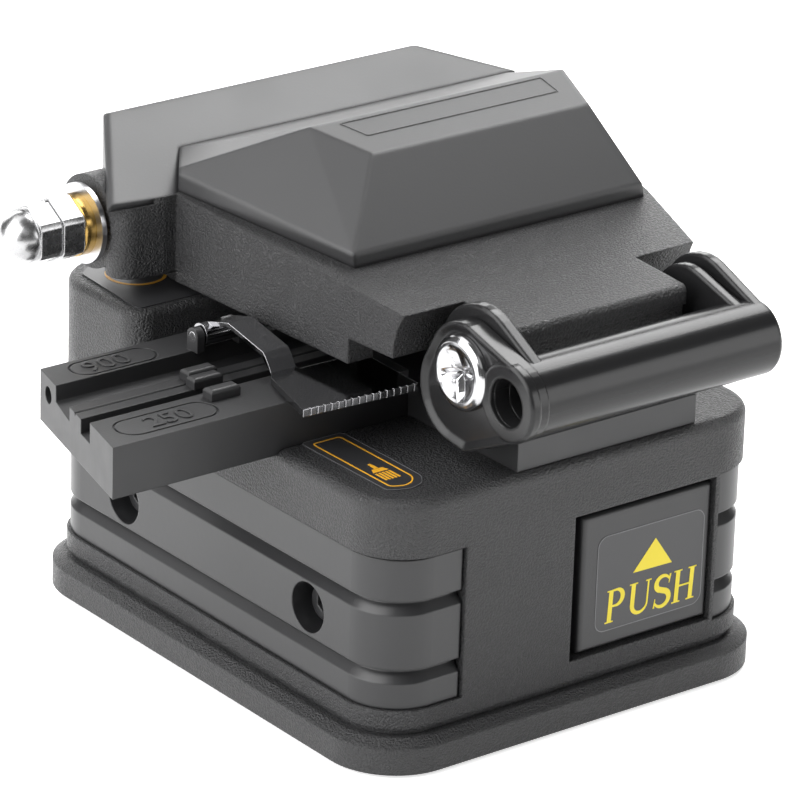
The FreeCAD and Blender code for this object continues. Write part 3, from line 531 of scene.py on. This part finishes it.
# %% Rear sticker
rear_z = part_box("rear_label")[1][2]
RING_X, RING_Y, RING_R, RING_W, DOT_R = -21.9, 27.7, 4.0, 0.45, 0.6
rear_place = surface((RING_X * MM, RING_Y * MM, rear_z), (1, 0, 0), (0, 1, 0))
circle = bmesh.new()
ring_path = arc(0, 0, RING_R - RING_W / 2, RING_R - RING_W / 2, 0, 360, 48)
ribbon(circle, ring_path, [RING_W] * len(ring_path))
lay_on("rear_sticker_ring", circle, rear_place, "base", ink_amber)
dot = bmesh.new()
bmesh.ops.create_circle(dot, cap_ends=True, segments=24, radius=DOT_R * MM)
lay_on("rear_sticker_dot", dot, rear_place, "base", ink_amber)
print("ring", 2 * RING_R, "mm across")

# %% [markdown]
# ## The line on the pad
# The top band of the lid's pad has a fine raised frame near its rear edge. It is
# left plain inside.

# %% Pad frame
BAND_FRONT, BAND_BACK = Vector((0, 0.0, 65.05)), Vector((0, 10.0, 65.9))
band_up = (BAND_BACK - BAND_FRONT).normalized()
band_place = surface(BAND_FRONT * MM, (1, 0, 0), band_up)
raised_line = outline([(-3.2, 4.6), (27.5, 4.6), (28.3, 9.3), (-4.2, 9.3)], 0.3, 0.22)
LINE_RELIEF = 0.07 * MM
lay_on("pad_line", raised_line, band_place, "lid", satin, LINE_RELIEF)
print("pad line stands", round(LINE_RELIEF / MM, 2), "mm proud")

# %% [markdown]
# ## The pull handle
# The real handle is one moulding: a bored tube between two cheeks. The left cheek
# has a sunk face behind a raised rim and a corner that points down, and a taller rib
# stands behind it. A convex hull of a few circles gives each cheek its outline, an
# inset sinks its face, and a boolean opens the bore. The tube is a lathe profile.

# %% Helpers for moulded parts
FLAT_ANGLE = math.radians(0.5)
SAME_X = 0.01 * MM
MERGE = 0.0005 * MM


def circle_points(centre, radius, steps=40):
    """Points round a circle, as material for a hull."""
    turns = [math.tau * i / steps for i in range(steps)]
    return [(centre[0] + radius * math.cos(t), centre[1] + radius * math.sin(t)) for t in turns]


def hull_plate(points_yz, x0, x1, round_mm):
    """A plate between two x planes whose outline is the hull of points, with rounded rims."""
    bm = bmesh.new()
    for x in (x0, x1):
        for y, z in points_yz:
            bm.verts.new((x * MM, y * MM, z * MM))
    made = bmesh.ops.convex_hull(bm, input=bm.verts[:])
    unused = set(made["geom_interior"]) | set(made["geom_unused"])
    inside = [part for part in unused if isinstance(part, bmesh.types.BMVert)]
    bmesh.ops.delete(bm, geom=inside, context="VERTS")
    bmesh.ops.dissolve_limit(bm, angle_limit=FLAT_ANGLE, verts=bm.verts[:], edges=bm.edges[:])
    rims = [e for e in bm.edges if abs(e.verts[0].co.x - e.verts[1].co.x) < SAME_X]
    bmesh.ops.bevel(bm, geom=rims, offset=round_mm * MM, segments=3, profile=0.5,
                    affect="EDGES", material=-1)
    return bm


def lathe(profile_mm, centre_yz, steps=72):
    """A closed profile of (x, radius) points, spun about an axis along X."""
    bm = bmesh.new()
    y, z = centre_yz
    points = [bm.verts.new((x * MM, y * MM, (z + r) * MM)) for x, r in profile_mm]
    ring = [bm.edges.new((a, b)) for a, b in zip(points, points[1:] + points[:1])]
    bmesh.ops.spin(bm, geom=points + ring, cent=(0, y * MM, z * MM), axis=(1, 0, 0),
                   angle=math.tau, steps=steps, use_merge=True)
    return bm


def to_mesh(name, bm):
    """A closed mesh with its doubles merged and its faces pointing outwards."""
    bmesh.ops.remove_doubles(bm, verts=bm.verts, dist=MERGE)
    bmesh.ops.recalc_face_normals(bm, faces=bm.faces)
    mesh = bpy.data.meshes.new(name)
    bm.to_mesh(mesh)
    bm.free()
    return mesh


def bored(name, bm, x0, x1, centre_yz, radius_mm):
    """The mesh of bm with a round hole along X."""
    body = bpy.data.objects.new(name, to_mesh(name, bm))
    drill_bm = bmesh.new()
    turn = Matrix.Rotation(math.pi / 2, 4, "Y")
    middle = ((x0 + x1) / 2 * MM, centre_yz[0] * MM, centre_yz[1] * MM)
    radius = radius_mm * MM
    bmesh.ops.create_cone(drill_bm, cap_ends=True, segments=64, radius1=radius, radius2=radius,
                          depth=(x1 - x0) * MM, matrix=Matrix.Translation(middle) @ turn)
    drill = bpy.data.objects.new(name + "_drill", to_mesh(name + "_drill", drill_bm))
    for obj in (body, drill):
        bpy.context.collection.objects.link(obj)
    cut = body.modifiers.new("bore", "BOOLEAN")
    cut.operation = "DIFFERENCE"
    cut.solver = "EXACT"
    cut.object = drill
    bpy.context.view_layer.update()
    seen = body.evaluated_get(bpy.context.evaluated_depsgraph_get())
    mesh = bpy.data.meshes.new_from_object(seen)
    mesh.name = name
    bpy.data.objects.remove(body)
    bpy.data.objects.remove(drill)
    return mesh


# %% Sizes of the handle
joints = {joint["name"]: joint for joint in frame["record"]["behaviour"]["joints"]}
PIVOT = tuple(v / MM for v in joints["handle_pivot"]["pos_m"][1:])
TUBE = (PIVOT[0] - 8.8, PIVOT[1] - 0.9)
TUBE_R, LIP_R, BORE_R = 4.8, 5.0, 3.05
PLATE, RIM, SUNK = 2.9, 0.9, 0.5
handle_low, handle_high = (Vector(corner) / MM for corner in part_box("handle"))
X_LEFT, X_RIGHT = handle_low.x, handle_high.x
print("handle", round(X_RIGHT - X_LEFT, 1), "mm wide")

# %% Tube
tube_profile = [
    (X_LEFT, BORE_R), (X_LEFT, LIP_R - 0.3), (X_LEFT + 0.3, LIP_R), (X_LEFT + 1.3, LIP_R),
    (X_LEFT + 1.7, TUBE_R), (X_RIGHT - 0.6, TUBE_R), (X_RIGHT - 0.2, TUBE_R - 0.2),
    (X_RIGHT, TUBE_R - 0.6), (X_RIGHT, BORE_R),
]
tube_mesh = to_mesh("handle_tube", lathe(tube_profile, TUBE))
tube = finish_piece("handle_tube", tube_mesh, "handle", gloss)
print("tube faces:", len(tube_mesh.polygons))

# %% Left cheek
lobe = circle_points((PIVOT[0] + 1.5, PIVOT[1] - 3.2), 6.5)
tip = circle_points((PIVOT[0] - 0.8, PIVOT[1] - 8.2), 1.8)
outer = circle_points(PIVOT, 6.3) + circle_points(TUBE, LIP_R - 0.1) + lobe + tip
bm = hull_plate(outer, X_LEFT + 0.1, X_LEFT + PLATE, 0.3)
# The face to sink is the large flat one at the left.
face = min(bm.faces, key=lambda f: f.calc_center_median().x - f.calc_area())
bmesh.ops.inset_region(bm, faces=[face], thickness=RIM * MM, depth=-SUNK * MM,
                       use_even_offset=True)
cheek_mesh = bored("handle_cheek_left", bm, X_LEFT - 1, X_LEFT + 4, TUBE, BORE_R)
finish_piece("handle_cheek_left", cheek_mesh, "handle", gloss)
print("left cheek faces:", len(cheek_mesh.polygons))

# %% Ribs and right cheek
# Each plate has its two x planes and its radii round the pivot and round the tube.
PLATES = {
    "handle_rib_left": (X_LEFT + PLATE, X_LEFT + 4.7, 7.9, 4.6),
    "handle_rib_right": (19.0, 20.5, 6.2, 4.6),
    "handle_web_right": (20.5, 21.4, 5.2, 4.3),
    "handle_cheek_right": (21.4, 23.0, 7.1, 4.7),
}
for name, (x0, x1, r_pivot, r_tube) in PLATES.items():
    bm = hull_plate(circle_points(PIVOT, r_pivot) + circle_points(TUBE, r_tube), x0, x1, 0.35)
    mesh = bored(name, bm, x0 - 1, x1 + 1, TUBE, BORE_R)
    finish_piece(name, mesh, "handle", gloss)
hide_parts("handle")
print("handle pieces:", 2 + len(PLATES))

# %% [markdown]
# ## Screw heads of the handle
# The two pivot screws have plated pan heads with a dished cross. The head is a
# lathe shape with many rings, and the cross is pressed in by lowering the vertices
# near two crossing lines, which leaves the soft facets that a punch leaves.

# %% Screw heads
HEAD_R, SLOT_HALF, SLOT_DEPTH, CROSS_TURN = 4.75, 0.75, 0.75, math.radians(20)
CROSS_R, CROSS_FADE, SEATED_H = 3.4, 0.9, 0.3
AXIS_R = 0.02
HEAD_PROFILE = [
    (HEAD_R, 0.0), (HEAD_R, 0.55), (4.6, 0.85), (4.35, 1.1), (4.0, 1.28), (3.6, 1.32),
    (3.2, 1.22), (2.8, 1.08), (2.4, 0.96), (2.0, 0.86), (1.6, 0.78), (1.2, 0.72),
    (0.8, 0.68), (0.4, 0.65), (AXIS_R, 0.64),
]


def screw_head(name, x_seat, outward):
    """A pan head seated at x_seat, facing left (-1) or right (1)."""
    profile = [(0.0, AXIS_R)] + [(h, r) for r, h in HEAD_PROFILE]
    bm = lathe(profile, (0.0, 0.0), steps=96)
    for v in bm.verts:
        y, z, height = v.co.y / MM, v.co.z / MM, v.co.x / MM
        r = math.hypot(y, z)
        if height > SEATED_H and r < CROSS_R:
            turned = math.atan2(z, y) + CROSS_TURN
            across = min(abs(r * math.sin(turned)), abs(r * math.cos(turned)))
            fade = min(1.0, (CROSS_R - r) / CROSS_FADE)
            v.co.x -= SLOT_DEPTH * max(0.0, 1.0 - across / SLOT_HALF) * fade * MM
    bmesh.ops.scale(bm, vec=(outward, 1, 1), verts=bm.verts)
    bmesh.ops.translate(bm, vec=(x_seat * MM, PIVOT[0] * MM, PIVOT[1] * MM), verts=bm.verts)
    return finish_piece(name, to_mesh(name, bm), "lid", plated)


left_head = screw_head("pivot_screw_left", X_LEFT + 0.55, -1)
screw_head("pivot_screw_right", 23.0, 1)
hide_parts("handle_screws")
print("screw head", 2 * HEAD_R, "mm across")

# %% [markdown]
# ## The return spring
# A push squeezes the return spring between the slide block and the rear stop. A
# rigid copy would stand inside the moving block. The solid's mesh is copied into a
# piece on the base, and that piece is given a mesh of its own.

# %% Return spring
spring_mesh = nodes["return_spring"].data.copy()
spring_mesh.transform(nodes["return_spring"].matrix_world)
spring_mesh.materials.clear()
spring = finish_piece("spring_sleeve", spring_mesh, "base", ground)
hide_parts("return_spring")

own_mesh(spring)

# %% [markdown]
# ## Floor and backdrop
# The picture has a white ground. The white comes from the floor's own colour plus a
# glow that only the camera and reflections see, so no extra light falls on the tool,
# and the tool still throws its soft shadow. The world past the floor is white to the
# camera alone. To everything else it is a dim room, which keeps the blacks black.

# %% Floor
bm = bmesh.new()
bmesh.ops.create_grid(bm, x_segments=1, y_segments=1, size=3.0)
floor_mesh = bpy.data.meshes.new("floor")
bm.to_mesh(floor_mesh)
bm.free()
floor = bpy.data.objects.new("floor", floor_mesh)
bpy.context.collection.objects.link(floor)

FLOOR_GLOW = 0.62
paper, tree, shader = new_finish("paper_white", (0.86, 0.86, 0.86), 0.9, specular=0.05)
floor_mesh.materials.append(paper)
rays = tree.nodes.new("ShaderNodeLightPath")
seen = tree.nodes.new("ShaderNodeMath")
seen.operation = "MAXIMUM"
tree.links.new(rays.outputs["Is Camera Ray"], seen.inputs[0])
tree.links.new(rays.outputs["Is Glossy Ray"], seen.inputs[1])
glow = tree.nodes.new("ShaderNodeMath")
glow.operation = "MULTIPLY"
glow.inputs[1].default_value = FLOOR_GLOW
tree.links.new(seen.outputs["Value"], glow.inputs[0])
shader.inputs["Emission Color"].default_value = (1, 1, 1, 1)
tree.links.new(glow.outputs["Value"], shader.inputs["Emission Strength"])
print("floor glow:", FLOOR_GLOW)

# %% World
WORLD_LIGHT = 0.12
world = bpy.data.worlds.new("studio")
bpy.context.scene.world = world
world.use_nodes = True
tree = world.node_tree
sky = tree.nodes["Background"]
sky.inputs["Color"].default_value = (1, 1, 1, 1)
rays = tree.nodes.new("ShaderNodeLightPath")
mix = tree.nodes.new("ShaderNodeMapRange")
mix.inputs["To Min"].default_value = WORLD_LIGHT
mix.inputs["To Max"].default_value = 1.0
tree.links.new(rays.outputs["Is Camera Ray"], mix.inputs["Value"])
tree.links.new(mix.outputs["Result"], sky.inputs["Strength"])
print("world light on the tool:", WORLD_LIGHT)

# %% [markdown]
# ## Camera
# A long lens, a little above the tool and to the left of its front, with a small
# roll. The shift only centres the tool in the square frame.

# %% Camera
AZIMUTH, ELEVATION, ROLL = math.radians(-38.166), math.radians(22.775), math.radians(1.83)
CAMERA_PLACE = (-0.3903, -0.4937, 0.29345)
LENS_MM, SHIFT_X, SHIFT_Y = 242.37, 0.01535, 0.01261
flat = math.cos(ELEVATION)
back = Vector((math.sin(AZIMUTH) * flat, -math.cos(AZIMUTH) * flat, math.sin(ELEVATION)))
level = Vector((0, 0, 1)).cross(back).normalized()
rise = back.cross(level)
cam_right = math.cos(ROLL) * level + math.sin(ROLL) * rise
cam_up = math.cos(ROLL) * rise - math.sin(ROLL) * level
cam_data = bpy.data.cameras.new("camera")
cam_data.sensor_width = 36.0
cam_data.lens = LENS_MM
cam_data.shift_x, cam_data.shift_y = SHIFT_X, SHIFT_Y
cam_data.clip_start = 0.01
camera = bpy.data.objects.new("camera", cam_data)
camera.matrix_world = surface(CAMERA_PLACE, cam_right, cam_up)
bpy.context.collection.objects.link(camera)
bpy.context.scene.camera = camera
print("camera", round(Vector(CAMERA_PLACE).length, 2), "m from the tool's foot")

# %% [markdown]
# ## Lamps
# Black parts show the lamps more than their own colour, so each lamp is placed where
# a face mirrors it to the camera. Two boxes behind the tool give the lid's top and
# hood their pale sheen. The strongest is a large one at the left, which lights the
# long side, and it is large so that no face mirrors it too brightly. Weaker boxes
# open the high left, the right and the front.

# %% A soft box
AIM = Vector((0, 0, 0.04))
away = Vector((-back.x, -back.y, 0)).normalized()
side = Vector((level.x, level.y, 0)).normalized()


def soft_box(name, azimuth, elevation, distance, size, power):
    """Azimuth from the direction away from the camera, positive to its right."""
    a, e = math.radians(azimuth), math.radians(elevation)
    level_way = away * math.cos(a) + side * math.sin(a)
    place = (level_way * math.cos(e) + Vector((0, 0, math.sin(e)))) * distance + AIM
    lamp = bpy.data.lights.new(name, "AREA")
    lamp.energy = power
    lamp.shape = "RECTANGLE"
    lamp.size, lamp.size_y = size
    obj = bpy.data.objects.new(name, lamp)
    obj.location = place
    obj.rotation_euler = (AIM - place).to_track_quat("-Z", "Y").to_euler()
    bpy.context.collection.objects.link(obj)


# %% Lamps
# Name, azimuth, elevation, distance in metres, size in metres, power in watts.
LAMPS = (
    ("back_box", -8, 16, 0.9, (1.1, 0.4), 5.0),
    ("high_back_box", 28, 52, 0.9, (0.5, 0.5), 7.0),
    ("high_left_box", -60, 58, 0.8, (0.5, 0.5), 1.5),
    ("right_box", 104, 14, 0.9, (0.6, 0.5), 3.1),
    ("left_box", -120, 32, 0.8, (1.0, 1.0), 15.5),
    ("front_box", 172, 40, 1.0, (0.5, 0.5), 0.4),
)
for lamp_row in LAMPS:
    soft_box(*lamp_row)
bpy.context.scene.view_settings.view_transform = "Standard"
print("lamps:", len(LAMPS))
